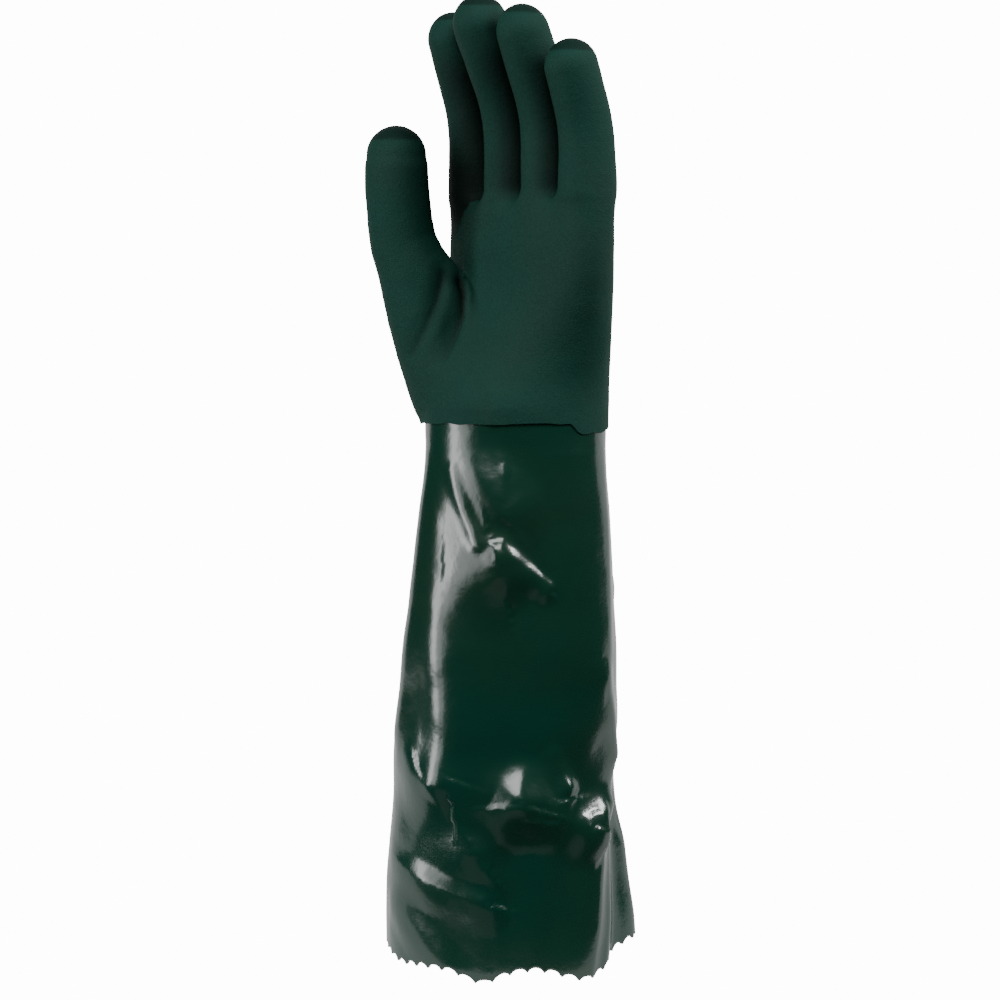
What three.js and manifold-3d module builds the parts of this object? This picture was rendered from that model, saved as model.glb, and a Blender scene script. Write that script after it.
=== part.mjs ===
import * as THREE from "three";
import { mergeVertices } from "three/addons/utils/BufferGeometryUtils.js";
import Module from "manifold-3d";

// A long work glove for the left hand, dipped in PVC: a glossy sleeve with a pinked cuff, and a sandy
// second coat over the hand. Millimetres, +Z from the cuff to the fingertips, -Y towards the front of the
// sleeve, and the origin in the middle of the mouth that the forearm goes into.

// Sleeve
const SLEEVE_LENGTH = 250;
const WRIST_WIDTH = 84;
const WRIST_DEPTH = 64;
const CUFF_WIDTH = 116;
const CUFF_DEPTH = 88;
const SLEEVE_WALL = 1.4;
const FOLD_REACH = 30;
const FOLD_LIFT = 6;
const FOLD_FADE = 0.06;

// Pinked cuff
const CUFF_RISE = 14;
const TEETH = 40;
const TOOTH_DEPTH = 2.6;

// Second coat over the sleeve's upper end
const COAT_STEP = 0.9;
const COAT_DROP = 4;
const LAP = 10;
const CLEARANCE = 0.3;

// Hand
const HAND_WALL = 1.8;
const HAND_TURN = 50;
const HAND_SHIFT = 7;
const PALM_LENGTH = 108;
const PALM_THICKNESS = 33;
const PALM_CUP = 5;
const CROTCH_ROUND = 8;

// Fingers and thumb
const FINGER_LENGTH = 93.5;
const FINGER_WIDTH = 25;
const FINGER_THICKNESS = 28;
const FINGER_GAP = 1;
const FINGER_ROOT = 34;
const ROOT_TAPER = 0.78;
const TIP_TAPER = 0.1;
const THUMB_LENGTH = 138;
const THUMB_WIDTH = 29.5;
const THUMB_REACH = 61.5;
const END_LENGTH = 1.1;

// Heights above the coat's edge at which its nodes part: across the heel, and a little above the crotches
// of the thumb and the fingers
const HEEL_SEAM = 53;
const THUMB_SEAM = 83;
const FINGER_SEAM = PALM_LENGTH + CLEARANCE;

const SLEEVE_SIDES = 40;
const SLEEVE_ROWS = 20;
const BITE_SIDES = 10;
const PALM_ROWS = 8;
const FINGER_SIDES = 14;
const FINGER_ROWS = 6;
const CURL_STEPS = 60;

// Heights of the rings of a round end, as shares of its reach.
const ROUND_RINGS = [0.5, 0.81, 0.96];

const PALM_BREADTH = 4 * FINGER_WIDTH + 3 * FINGER_GAP;
const LAP_TOP = LAP + 2 * CLEARANCE;
const TURN = THREE.MathUtils.degToRad(HAND_TURN);
const UP = new THREE.Vector3(0, 0, 1);
const THUMBWARD = new THREE.Vector3(-Math.cos(TURN), Math.sin(TURN), 0);
const PALMWARD = new THREE.Vector3(-Math.sin(TURN), -Math.cos(TURN), 0);

// Sleeve outline from the cuff up: up is a share of SLEEVE_LENGTH, flare goes from 0 at the wrist to 1 at
// the cuff, lean is the middle's place as a share of CUFF_WIDTH, and square is the power of the section's
// super-ellipse, 2 for a plain ellipse.
const SLEEVE_SECTIONS = [
  { up: 0, flare: 1, lean: -0.008, square: 2.1 },
  { up: 0.09, flare: 0.98, lean: -0.014, square: 2.2 },
  { up: 0.16, flare: 0.89, lean: -0.024, square: 2.3 },
  { up: 0.235, flare: 0.77, lean: -0.028, square: 2.4 },
  { up: 0.31, flare: 0.63, lean: -0.032, square: 2.4 },
  { up: 0.385, flare: 0.59, lean: -0.034, square: 2.4 },
  { up: 0.46, flare: 0.6, lean: -0.02, square: 2.5 },
  { up: 0.53, flare: 0.53, lean: -0.014, square: 2.6 },
  { up: 0.61, flare: 0.46, lean: -0.008, square: 2.6 },
  { up: 0.68, flare: 0.35, lean: -0.002, square: 2.6 },
  { up: 0.755, flare: 0.25, lean: 0.004, square: 2.5 },
  { up: 0.865, flare: 0.11, lean: 0.01, square: 2.4 },
  { up: 0.96, flare: 0, lean: 0.014, square: 2.2 },
  { up: 1, flare: 0, lean: 0.014, square: 2.1 },
];

// How far the cuff's cut rises above its lowest point, as a share of CUFF_RISE, by degrees round the sleeve
// from the right (-90 is the front).
const CUFF_CUT = [
  { at: -180, rise: 0.75 },
  { at: -165, rise: 0.7 },
  { at: -150, rise: 0.45 },
  { at: -130, rise: 0.5 },
  { at: -118, rise: 0.38 },
  { at: -103, rise: 0 },
  { at: -90, rise: 0.32 },
  { at: -77, rise: 0.4 },
  { at: -55, rise: 0 },
  { at: -42, rise: 0.4 },
  { at: -30, rise: 0.78 },
  { at: -10, rise: 1 },
  { at: 45, rise: 0.85 },
  { at: 90, rise: 0.6 },
  { at: 135, rise: 0.55 },
  { at: 180, rise: 0.75 },
];

// How far the hand coat's lower edge lies below SLEEVE_LENGTH, as a share of COAT_DROP.
const COAT_EDGE = [
  { at: -180, drop: -1 },
  { at: -168, drop: -1 },
  { at: -150, drop: -0.2 },
  { at: -130, drop: 0.05 },
  { at: -70, drop: 0 },
  { at: -58, drop: 1 },
  { at: -22, drop: 1 },
  { at: 0, drop: 0 },
  { at: 150, drop: 0 },
  { at: 180, drop: -1 },
];

// Folds pressed into the sleeve, each a straight ridge (lift above 0) or valley (below 0) between two
// points of its unrolled wall: degrees round it and shares of SLEEVE_LENGTH up it. reach is the width of
// its slopes as a share of FOLD_REACH, lift its height as a share of FOLD_LIFT.
const FOLDS = [
  { from: [-120, 0.97], to: [-92, 0.8], reach: 0.8, lift: 0.6 },
  { from: [-140, 0.8], to: [-112, 0.75], reach: 0.6, lift: -0.45 },
  { from: [-98, 0.75], to: [-72, 0.67], reach: 0.5, lift: 0.55 },
  { from: [-140, 0.7], to: [-104, 0.66], reach: 0.6, lift: 0.45 },
  { from: [-148, 0.62], to: [-112, 0.58], reach: 0.8, lift: -0.45 },
  { from: [-32, 0.95], to: [-34, 0.4], reach: 0.5, lift: 0.5 },
  { from: [-14, 0.92], to: [-12, 0.42], reach: 0.5, lift: -0.4 },
  { from: [-150, 0.95], to: [-148, 0.45], reach: 0.5, lift: 0.4 },
  { from: [-152, 0.4], to: [-104, 0.17], reach: 0.8, lift: 0.9 },
  { from: [-158, 0.26], to: [-126, 0.12], reach: 0.9, lift: -0.7 },
  { from: [-150, 0.14], to: [-114, 0.09], reach: 0.5, lift: 0.5 },
  { from: [-100, 0.35], to: [-66, 0.28], reach: 0.7, lift: 0.6 },
  { from: [-92, 0.28], to: [-46, 0.23], reach: 0.6, lift: -0.8 },
  { from: [-70, 0.33], to: [-30, 0.36], reach: 0.7, lift: 0.7 },
  { from: [-60, 0.36], to: [-56, 0.22], reach: 0.35, lift: 0.45 },
  { from: [-38, 0.33], to: [-44, 0.02], reach: 0.7, lift: 0.7 },
  { from: [-18, 0.33], to: [-26, 0], reach: 0.7, lift: -1.1 },
  { from: [-4, 0.16], to: [-6, 0], reach: 0.7, lift: 0.5 },
  { from: [40, 0.95], to: [70, 0.5], reach: 1.1, lift: -0.6 },
  { from: [60, 0.48], to: [120, 0.36], reach: 0.9, lift: 0.7 },
  { from: [80, 0.3], to: [130, 0.2], reach: 1, lift: -0.7 },
  { from: [110, 0.9], to: [140, 0.6], reach: 1, lift: 0.5 },
  { from: [140, 0.26], to: [150, 0], reach: 0.8, lift: 0.6 },
];

// Hand from the top of the sleeve's lap (up 0) to the finger crotches (up 1). turned, broad, thick and over
// each go from 0 at the wrist to 1 at the knuckles, cup is a share of PALM_CUP, and square is the power of
// the section's super-ellipse.
const PALM_SECTIONS = [
  { up: 0, turned: 0, broad: 0, thick: 0, over: 0, cup: 0, square: 2.1 },
  { up: 0.1, turned: 0.14, broad: 0, thick: 0.1, over: 0.06, cup: 0.1, square: 2.1 },
  { up: 0.22, turned: 0.42, broad: 0.08, thick: 0.28, over: 0.2, cup: 0.3, square: 2.1 },
  { up: 0.36, turned: 0.7, broad: 0.3, thick: 0.46, over: 0.45, cup: 0.7, square: 2.1 },
  { up: 0.5, turned: 0.88, broad: 0.58, thick: 0.6, over: 0.7, cup: 1, square: 2.2 },
  { up: 0.65, turned: 0.97, broad: 0.82, thick: 0.74, over: 0.88, cup: 0.9, square: 2.3 },
  { up: 0.8, turned: 1, broad: 0.95, thick: 0.88, over: 0.96, cup: 0.5, square: 2.4 },
  { up: 0.93, turned: 1, broad: 1, thick: 1, over: 1, cup: 0.1, square: 2.6 },
];

// Fingers from the thumb's side: place counts pitches from the hand's middle towards the thumb, long is a
// share of FINGER_LENGTH, stout of FINGER_WIDTH, and curl is the tip's bend towards the palm in degrees.
const FINGERS = [
  { place: 1.5, long: 0.945, stout: 0.98, curl: 20 },
  { place: 0.5, long: 1, stout: 1, curl: 26 },
  { place: -0.5, long: 0.935, stout: 0.99, curl: 23 },
  { place: -1.5, long: 0.745, stout: 0.98, curl: 19 },
];

// How a finger's bend grows along it, as shares of its length and curl.
const CURL = [
  { along: 0, bend: 0 },
  { along: 0.25, bend: 0.12 },
  { along: 0.38, bend: 0.4 },
  { along: 0.5, bend: 0.75 },
  { along: 0.62, bend: 1 },
  { along: 1, bend: 0.95 },
];

// Thumb from the heel of the hand to its tip: along is a share of THUMB_LENGTH up from the coat's edge, out
// and back are shares of THUMB_REACH leftwards and backwards, stout is a share of THUMB_WIDTH, and web is
// how far its skin runs on towards the palm, as a share of THUMB_WIDTH.
const THUMB_SECTIONS = [
  { along: 0.03, out: 0.4, back: 0.04, stout: 1.18, web: 0.2 },
  { along: 0.1, out: 0.455, back: 0.06, stout: 1.26, web: 0.3 },
  { along: 0.19, out: 0.525, back: 0.08, stout: 1.3, web: 0.45 },
  { along: 0.28, out: 0.6, back: 0.1, stout: 1.28, web: 0.6 },
  { along: 0.38, out: 0.675, back: 0.11, stout: 1.23, web: 0.7 },
  { along: 0.47, out: 0.735, back: 0.12, stout: 1.15, web: 0.6 },
  { along: 0.55, out: 0.785, back: 0.12, stout: 1.08, web: 0.34 },
  { along: 0.62, out: 0.82, back: 0.12, stout: 1.03, web: 0.08 },
  { along: 0.7, out: 0.845, back: 0.11, stout: 1, web: 0 },
  { along: 0.8, out: 0.868, back: 0.1, stout: 0.98, web: 0 },
  { along: 0.87, out: 0.874, back: 0.09, stout: 0.95, web: 0 },
  { along: 0.92, out: 0.874, back: 0.08, stout: 0.88, web: 0 },
];

const wasm = await Module();
wasm.setup();

// A column of a table between its rows, on a Catmull-Rom curve.
function read(table, key, column, at) {
  const last = table.length - 1;
  let i = 0;
  while (i < last - 1 && at > table[i + 1][key]) i++;
  const [a, b] = [table[i], table[i + 1]];
  const before = table[Math.max(i - 1, 0)][column];
  const after = table[Math.min(i + 2, last)][column];
  const t = THREE.MathUtils.clamp((at - a[key]) / (b[key] - a[key]), 0, 1);
  const bend = new THREE.CatmullRomCurve3([
    new THREE.Vector3(before, 0, 0),
    new THREE.Vector3(a[column], 1, 0),
    new THREE.Vector3(b[column], 2, 0),
    new THREE.Vector3(after, 3, 0),
  ], false, "catmullrom");
  return bend.getPoint((1 + t) / 3).x;
}

// A closed skin over rings of equally many points, each ring counter-clockwise seen from the next.
function loft(rings) {
  const sides = rings[0].length;
  const points = rings.flat();
  const faces = [];
  for (let r = 0; r < rings.length - 1; r++)
    for (let s = 0; s < sides; s++) {
      const [a, b] = [r * sides + s, r * sides + ((s + 1) % sides)];
      faces.push(a, b, b + sides, a, b + sides, a + sides);
    }
  const middle = (ring) =>
    ring.reduce((sum, p) => sum.add(p), new THREE.Vector3()).divideScalar(sides);
  const top = (rings.length - 1) * sides;
  points.push(middle(rings[0]), middle(rings.at(-1)));
  for (let s = 0; s < sides; s++) {
    const next = (s + 1) % sides;
    faces.push(points.length - 2, next, s);
    faces.push(points.length - 1, top + s, top + next);
  }
  return new THREE.BufferGeometry().setFromPoints(points).setIndex(faces);
}

function solid(geometry) {
  const bare = geometry.clone();
  bare.deleteAttribute("normal");
  bare.deleteAttribute("uv");
  const merged = mergeVertices(bare, 1e-4);
  return new wasm.Manifold(
    new wasm.Mesh({
      numProp: 3,
      vertProperties: merged.attributes.position.array,
      triVerts: new Uint32Array(merged.index.array),
    }),
  );
}

function geometryOf(made) {
  const { vertProperties, triVerts } = made.getMesh();
  const geometry = new THREE.BufferGeometry();
  geometry.setAttribute("position", new THREE.BufferAttribute(vertProperties, 3));
  geometry.setIndex(new THREE.BufferAttribute(triVerts, 1));
  const faceted = geometry.toNonIndexed();
  faceted.computeVertexNormals();
  return faceted;
}

const joined = (solids) => solids.reduce((sum, next) => sum.add(next));

// A unit super-ellipse's point at an angle in degrees.
function superEllipse(angle, square) {
  const a = THREE.MathUtils.degToRad(angle);
  const reach = (Math.abs(Math.cos(a)) ** square + Math.abs(Math.sin(a)) ** square) ** (-1 / square);
  return [reach * Math.cos(a), reach * Math.sin(a)];
}

// How far the folds push the sleeve's wall out at a point of it.
function foldLift(angle, up) {
  const round = (Math.PI * (WRIST_WIDTH + CUFF_WIDTH)) / 4 / 180;
  const apart = (degrees) => THREE.MathUtils.euclideanModulo(degrees + 180, 360) - 180;
  let lift = 0;
  for (const fold of FOLDS) {
    const across = apart(fold.to[0] - fold.from[0]) * round;
    const rise = (fold.to[1] - fold.from[1]) * SLEEVE_LENGTH;
    const x = apart(angle - fold.from[0]) * round;
    const y = (up - fold.from[1]) * SLEEVE_LENGTH;
    const length = Math.hypot(across, rise);
    const along = THREE.MathUtils.clamp((x * across + y * rise) / length ** 2, 0, 1);
    const off = Math.hypot(x - along * across, y - along * rise);
    const slope = Math.max(0, 1 - off / (fold.reach * FOLD_REACH));
    lift += fold.lift * FOLD_LIFT * slope * slope * (2 - slope);
  }
  return lift;
}

// A point of the sleeve's outside, moved out by more.
function sleevePoint(angle, up, more) {
  const flare = read(SLEEVE_SECTIONS, "up", "flare", up);
  const lean = read(SLEEVE_SECTIONS, "up", "lean", up) * CUFF_WIDTH;
  const settle = THREE.MathUtils.smoothstep(1 - up, 0, FOLD_FADE);
  const out = more + foldLift(angle, up) * settle;
  const halfWidth = THREE.MathUtils.lerp(WRIST_WIDTH, CUFF_WIDTH, flare) / 2 + out;
  const halfDepth = THREE.MathUtils.lerp(WRIST_DEPTH, CUFF_DEPTH, flare) / 2 + out;
  const [across, through] = superEllipse(angle, read(SLEEVE_SECTIONS, "up", "square", up));
  return new THREE.Vector3(lean + halfWidth * across, halfDepth * through, up * SLEEVE_LENGTH);
}

const cuffRise = (angle) => read(CUFF_CUT, "at", "rise", angle) * CUFF_RISE;
const sideAngle = (s) => -180 + (s * 360) / SLEEVE_SIDES;

// The sleeve's skin as rings from its cut edge to a height, moved out by more.
function sleeveRings(rows, top, more) {
  const rings = [];
  for (let r = 0; r <= rows; r++) {
    const ring = [];
    for (let s = 0; s < SLEEVE_SIDES; s++) {
      const angle = sideAngle(s);
      const bottom = cuffRise(angle) / SLEEVE_LENGTH;
      ring.push(sleevePoint(angle, THREE.MathUtils.lerp(bottom, top, r / rows), more));
    }
    rings.push(ring);
  }
  return rings;
}

// Round bites out of the cuff, which leave a point between each two of them.
function cuffBites() {
  const pitch = (Math.PI * (CUFF_WIDTH + CUFF_DEPTH)) / 2 / TEETH;
  const radius = ((pitch / 2) ** 2 + TOOTH_DEPTH ** 2) / (2 * TOOTH_DEPTH);
  const bites = [];
  for (let t = 0; t < TEETH; t++) {
    const angle = -180 + (t * 360) / TEETH;
    const rise = cuffRise(angle);
    const at = sleevePoint(angle, rise / SLEEVE_LENGTH, 0);
    const bite = new THREE.CylinderGeometry(radius, radius, CUFF_DEPTH / 3, BITE_SIDES);
    const way = new THREE.Vector3(at.x / CUFF_WIDTH ** 2, at.y / CUFF_DEPTH ** 2, 0).normalize();
    bite.applyQuaternion(new THREE.Quaternion().setFromUnitVectors(new THREE.Vector3(0, 1, 0), way));
    bite.translate(at.x, at.y, rise + TOOTH_DEPTH - radius);
    bites.push(solid(bite));
  }
  return joined(bites);
}

function sleeve() {
  const top = 1 + LAP / SLEEVE_LENGTH;
  const outside = solid(loft(sleeveRings(SLEEVE_ROWS, top, 0)));
  const inside = sleeveRings(SLEEVE_ROWS, top, -SLEEVE_WALL);
  inside.unshift(inside[0].map((p) => p.clone().setZ(-CUFF_RISE)));
  inside.push(inside.at(-1).map((p) => p.clone().setZ(p.z + LAP)));
  return outside.subtract(solid(loft(inside))).subtract(cuffBites());
}

const coatEdge = (angle) => SLEEVE_LENGTH - read(COAT_EDGE, "at", "drop", angle) * COAT_DROP;
const wristLean = SLEEVE_SECTIONS.at(-1).lean * CUFF_WIDTH;
const palmMiddle = wristLean + HAND_SHIFT;

// A point of the palm's outside, moved out by more.
function palmPoint(angle, up, more) {
  const column = (name) => read(PALM_SECTIONS, "up", name, up);
  const lip = COAT_STEP + CLEARANCE;
  const halfBroad = THREE.MathUtils.lerp(WRIST_WIDTH / 2 + lip, PALM_BREADTH / 2, column("broad")) + more;
  const halfThick = THREE.MathUtils.lerp(WRIST_DEPTH / 2 + lip, PALM_THICKNESS / 2, column("thick")) + more;
  const turned = HAND_TURN * column("turned");
  const [broadly, thickly] = superEllipse(angle + turned, column("square"));
  const cup = PALM_CUP * column("cup") * (1 - broadly ** 2);
  const flat = new THREE.Vector3(halfBroad * broadly, halfThick * thickly + cup, 0);
  flat.applyAxisAngle(UP, -THREE.MathUtils.degToRad(turned));
  flat.x += wristLean + HAND_SHIFT * column("over");
  return flat.setZ(SLEEVE_LENGTH + THREE.MathUtils.lerp(LAP_TOP, PALM_LENGTH, up));
}

// The palm, closed over the knuckles by a quarter round. Its lowest ring is the coat's edge, or for the
// hollow inside it lies well below that.
function palm(more) {
  const shoulder = 1 - CROTCH_ROUND / (PALM_LENGTH - LAP_TOP);
  const ring = (up) => [...Array(SLEEVE_SIDES).keys()].map((s) => palmPoint(sideAngle(s), up, more));
  const foot = ring(0);
  foot.forEach((p, s) => p.setZ(more < 0 ? SLEEVE_LENGTH - 2 * LAP : coatEdge(sideAngle(s))));
  const rings = [foot];
  for (let r = 0; r <= PALM_ROWS; r++) rings.push(ring((shoulder * r) / PALM_ROWS));
  const last = rings.at(-1);
  const centre = last.reduce((sum, p) => sum.add(p), new THREE.Vector3()).divideScalar(last.length);
  const round = CROTCH_ROUND + more;
  for (const share of ROUND_RINGS)
    rings.push(last.map((p) => {
      const spoke = p.clone().sub(centre);
      spoke.setLength(spoke.length() - round * (1 - Math.sqrt(1 - share ** 2)));
      return spoke.add(centre).setZ(p.z + round * share);
    }));
  return solid(loft(rings));
}

// A finger as a tube along its curled middle line, closed by a round end.
function finger({ place, long, stout, curl }, more) {
  const pitch = FINGER_WIDTH + FINGER_GAP;
  const length = FINGER_LENGTH * long + more;
  const halfWidth = (FINGER_WIDTH * stout) / 2 + more;
  const halfThick = (FINGER_THICKNESS * stout) / 2 + more;
  const tip = halfWidth * END_LENGTH;
  const stations = [-FINGER_ROOT, 0];
  for (let k = 1; k <= FINGER_ROWS; k++) stations.push(((length - tip) * k) / FINGER_ROWS);
  const root = new THREE.Vector3(palmMiddle, 0, SLEEVE_LENGTH + PALM_LENGTH);
  root.addScaledVector(THUMBWARD, place * pitch);
  const bendAt = (s) => {
    const along = THREE.MathUtils.clamp(s / length, 0, 1);
    return THREE.MathUtils.degToRad(curl * read(CURL, "along", "bend", along));
  };
  const middle = (s) => {
    if (s <= 0) return root.clone().addScaledVector(UP, s);
    const p = root.clone();
    for (let k = 0; k < CURL_STEPS; k++) {
      const bend = bendAt((s * (k + 0.5)) / CURL_STEPS);
      p.addScaledVector(UP, (Math.cos(bend) * s) / CURL_STEPS);
      p.addScaledVector(PALMWARD, (Math.sin(bend) * s) / CURL_STEPS);
    }
    return p;
  };
  const ring = (s, size) => {
    const bend = bendAt(s);
    const front = PALMWARD.clone().multiplyScalar(Math.cos(bend)).addScaledVector(UP, -Math.sin(bend));
    const centre = middle(s);
    const points = [];
    for (let k = 0; k < FINGER_SIDES; k++) {
      const a = (2 * Math.PI * k) / FINGER_SIDES;
      const p = centre.clone().addScaledVector(THUMBWARD, halfWidth * size * Math.cos(a));
      points.push(p.addScaledVector(front, halfThick * size * Math.sin(a)));
    }
    return points;
  };
  const taper = (s) => (s < 0 ? ROOT_TAPER : 1 - TIP_TAPER * (s / length));
  const rings = stations.map((s) => ring(s, taper(s)));
  for (const share of ROUND_RINGS) {
    const s = length - tip + tip * share;
    rings.push(ring(s, taper(s) * Math.sqrt(1 - share ** 2)));
  }
  return solid(loft(rings));
}

// The thumb, closed by a round end, with its web running towards the palm's middle.
function thumb(more) {
  const ring = ({ along, out, back, stout, web }, size) => {
    const centre = new THREE.Vector3(-out, back, 0).multiplyScalar(THUMB_REACH);
    centre.setZ(SLEEVE_LENGTH + along * THUMB_LENGTH);
    const half = ((stout * THUMB_WIDTH) / 2 + more) * size;
    const inward = new THREE.Vector3(palmMiddle - centre.x, -centre.y, 0).normalize();
    const points = [];
    for (let k = 0; k < FINGER_SIDES; k++) {
      const spoke = new THREE.Vector3(half, 0, 0).applyAxisAngle(UP, (2 * Math.PI * k) / FINGER_SIDES);
      const towards = Math.max(0, spoke.dot(inward) / half);
      spoke.addScaledVector(inward, towards * web * THUMB_WIDTH);
      points.push(spoke.add(centre));
    }
    return points;
  };
  const rings = THUMB_SECTIONS.map((section) => ring(section, 1));
  rings[0].forEach((p) => p.setZ(p.z - more));
  const last = THUMB_SECTIONS.at(-1);
  const left = 1 - last.along + more / THUMB_LENGTH;
  for (const share of ROUND_RINGS)
    rings.push(ring({ ...last, along: last.along + left * share }, Math.sqrt(1 - share ** 2)));
  return solid(loft(rings));
}

function handMass(more) {
  return joined([palm(more), thumb(more), ...FINGERS.map((row) => finger(row, more))]);
}

// Room for the sleeve's upper end inside the coat's lower edge.
function lapRoom() {
  const sides = [...Array(SLEEVE_SIDES).keys()];
  const levels = [-2 * LAP, 0, LAP + CLEARANCE].map((z) => 1 + z / SLEEVE_LENGTH);
  return solid(loft(levels.map((up) => sides.map((s) => sleevePoint(sideAngle(s), up, CLEARANCE)))));
}

// The hand coat in its nodes, parted by thin level gaps: the wrist, the palm, and the stalls from the thumb
// to the little finger.
function handCoat() {
  const coat = handMass(0).subtract(handMass(-HAND_WALL)).subtract(lapRoom());
  const above = (height) => coat.trimByPlane([0, 0, 1], SLEEVE_LENGTH + height);
  const below = (made, height) => made.trimByPlane([0, 0, -1], -SLEEVE_LENGTH - height);
  const fromLeft = (made) =>
    made.decompose().sort((a, b) => a.boundingBox().min[0] - b.boundingBox().min[0]);
  const wrist = below(coat, HEEL_SEAM - CLEARANCE);
  const [thumbRoom] = fromLeft(above(THUMB_SEAM - CLEARANCE));
  const palm = below(above(HEEL_SEAM), FINGER_SEAM - CLEARANCE).subtract(thumbRoom);
  const [thumb] = fromLeft(above(THUMB_SEAM));
  const fingers = fromLeft(above(FINGER_SEAM)).slice(1);
  return [wrist, palm, thumb, ...fingers];
}

const sandyCoat = new THREE.MeshStandardMaterial({ color: 0x1f3f36, roughness: 0.85, metalness: 0 });
const glossyCoat = new THREE.MeshStandardMaterial({ color: 0x053427, roughness: 0.22, metalness: 0 });

const glove = new THREE.Group();
function add(name, made, material) {
  const mesh = new THREE.Mesh(geometryOf(made), material);
  mesh.name = name;
  glove.add(mesh);
}
const COAT_NODES = [
  "wrist_coat",
  "palm_coat",
  "thumb_stall",
  "index_stall",
  "middle_stall",
  "ring_stall",
  "little_stall",
];
add("gauntlet_sleeve", sleeve(), glossyCoat);
handCoat().forEach((piece, i) => add(COAT_NODES[i], piece, sandyCoat));

export default glove;
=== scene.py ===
"""A long PVC work glove for the left hand, dressed over its solids.

The sandy hand coat is one skin taken off a smooth field of palm, thumb and finger stalls. The glossy
sleeve is a fine tube with pressed folds and a pinked cuff. Lengths in the tables are millimetres, and the
meshes are made in metres.
"""

import math

import bmesh
import bpy
import numpy as np
from bpy.props import FloatProperty, FloatVectorProperty, IntProperty, PointerProperty
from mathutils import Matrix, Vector


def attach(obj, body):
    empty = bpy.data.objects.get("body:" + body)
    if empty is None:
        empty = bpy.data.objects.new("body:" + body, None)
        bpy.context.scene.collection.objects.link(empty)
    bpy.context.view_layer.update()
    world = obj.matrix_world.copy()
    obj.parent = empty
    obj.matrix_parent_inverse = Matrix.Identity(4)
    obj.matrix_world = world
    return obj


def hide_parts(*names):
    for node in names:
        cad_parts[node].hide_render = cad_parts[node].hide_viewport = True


bl_info = {
    "name": "Coated Work Glove",
    "version": (1, 0, 0),
    "blender": (4, 5, 0),
    "location": "3D Viewport > Sidebar > Glove",
    "description": "Makes the skins, finishes and studio of a long coated work glove",
    "category": "Object",
}

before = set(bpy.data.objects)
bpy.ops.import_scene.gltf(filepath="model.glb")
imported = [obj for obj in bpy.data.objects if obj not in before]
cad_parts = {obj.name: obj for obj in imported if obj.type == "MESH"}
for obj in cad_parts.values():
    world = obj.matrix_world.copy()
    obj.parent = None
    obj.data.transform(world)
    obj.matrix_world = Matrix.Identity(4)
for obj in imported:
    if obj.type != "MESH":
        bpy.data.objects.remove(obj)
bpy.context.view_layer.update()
SLEEVE_NODE = "gauntlet_sleeve"
HAND_NODES = (
    "wrist_coat",
    "palm_coat",
    "thumb_stall",
    "index_stall",
    "middle_stall",
    "ring_stall",
    "little_stall",
)
BODY = "root"
MM = 0.001

# Degrees round the sleeve go from the right (0) through the front (-90) to the left (-180).
# Sleeve outline from the cuff up: up is a share of the sleeve's length, flare goes from 0 at the wrist to
# 1 at the cuff, lean is the middle's place as a share of the cuff's width, and square is the power of the
# section's super-ellipse.
SLEEVE_SECTIONS = {
    "up": (0, 0.09, 0.16, 0.235, 0.31, 0.385, 0.46, 0.53, 0.61, 0.68, 0.755, 0.865, 0.96, 1),
    "flare": (1, 0.98, 0.89, 0.77, 0.63, 0.59, 0.6, 0.53, 0.46, 0.35, 0.25, 0.11, 0, 0),
    "lean": (
        *(-0.008, -0.014, -0.024, -0.028, -0.032, -0.034, -0.02),
        *(-0.014, -0.008, -0.002, 0.004, 0.01, 0.014, 0.014),
    ),
    "square": (2.1, 2.2, 2.3, 2.4, 2.4, 2.5, 2.6, 2.7, 2.8, 2.8, 2.8, 2.6, 2.4, 2.2),
}
# Share of the sleeve's length over which its folds and unevenness set in below the coat.
SETTLE = 0.09

# The cuff's cut above its lowest point, as a share of its rise, by degrees round the sleeve.
CUFF_CUT = {
    "at": (-180, -165, -150, -130, -118, -103, -90, -77, -55, -42, -30, -10, 45, 90, 135, 180),
    "rise": (0.68, 0.52, 0.3, 0.34, 0.3, -0.05, 0.25, 0.33, -0.02, 0.22, 0.55, 0.9, 0.85, 0.6, 0.55, 0.68),
}

# How far the hand coat's lower edge lies below the sleeve's length, as a share of the coat's drop.
COAT_EDGE = {
    "at": (-180, -168, -150, -130, -56, -48, -22, 0, 150, 180),
    "drop": (-0.7, -0.7, -0.85, -0.9, -0.95, 0.2, 0.15, -0.5, -0.9, -0.7),
}

# Soft unevenness of the sleeve, of the hand and of the coat's edge by degrees round it, from coarse to fine:
# how high it is, and how long its swells are across, through and up the glove.
SLEEVE_ROLL = (
    {"height": 0.3, "size": (21, 21, 21), "seed": 11},
    {"height": 0.11, "size": (8, 8, 11), "seed": 12},
)
HAND_ROLL = (
    {"height": 0.45, "size": (26, 26, 26), "seed": 3},
    {"height": 0.2, "size": (11, 11, 11), "seed": 5},
    {"height": 0.06, "size": (4.2, 4.2, 4.2), "seed": 8},
)
EDGE_ROLL = ({"height": 0.5, "size": (9, 1, 1), "seed": 21},)
# Height above the dip line over which the hand's unevenness sets in.
ROLL_START = 12

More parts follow.
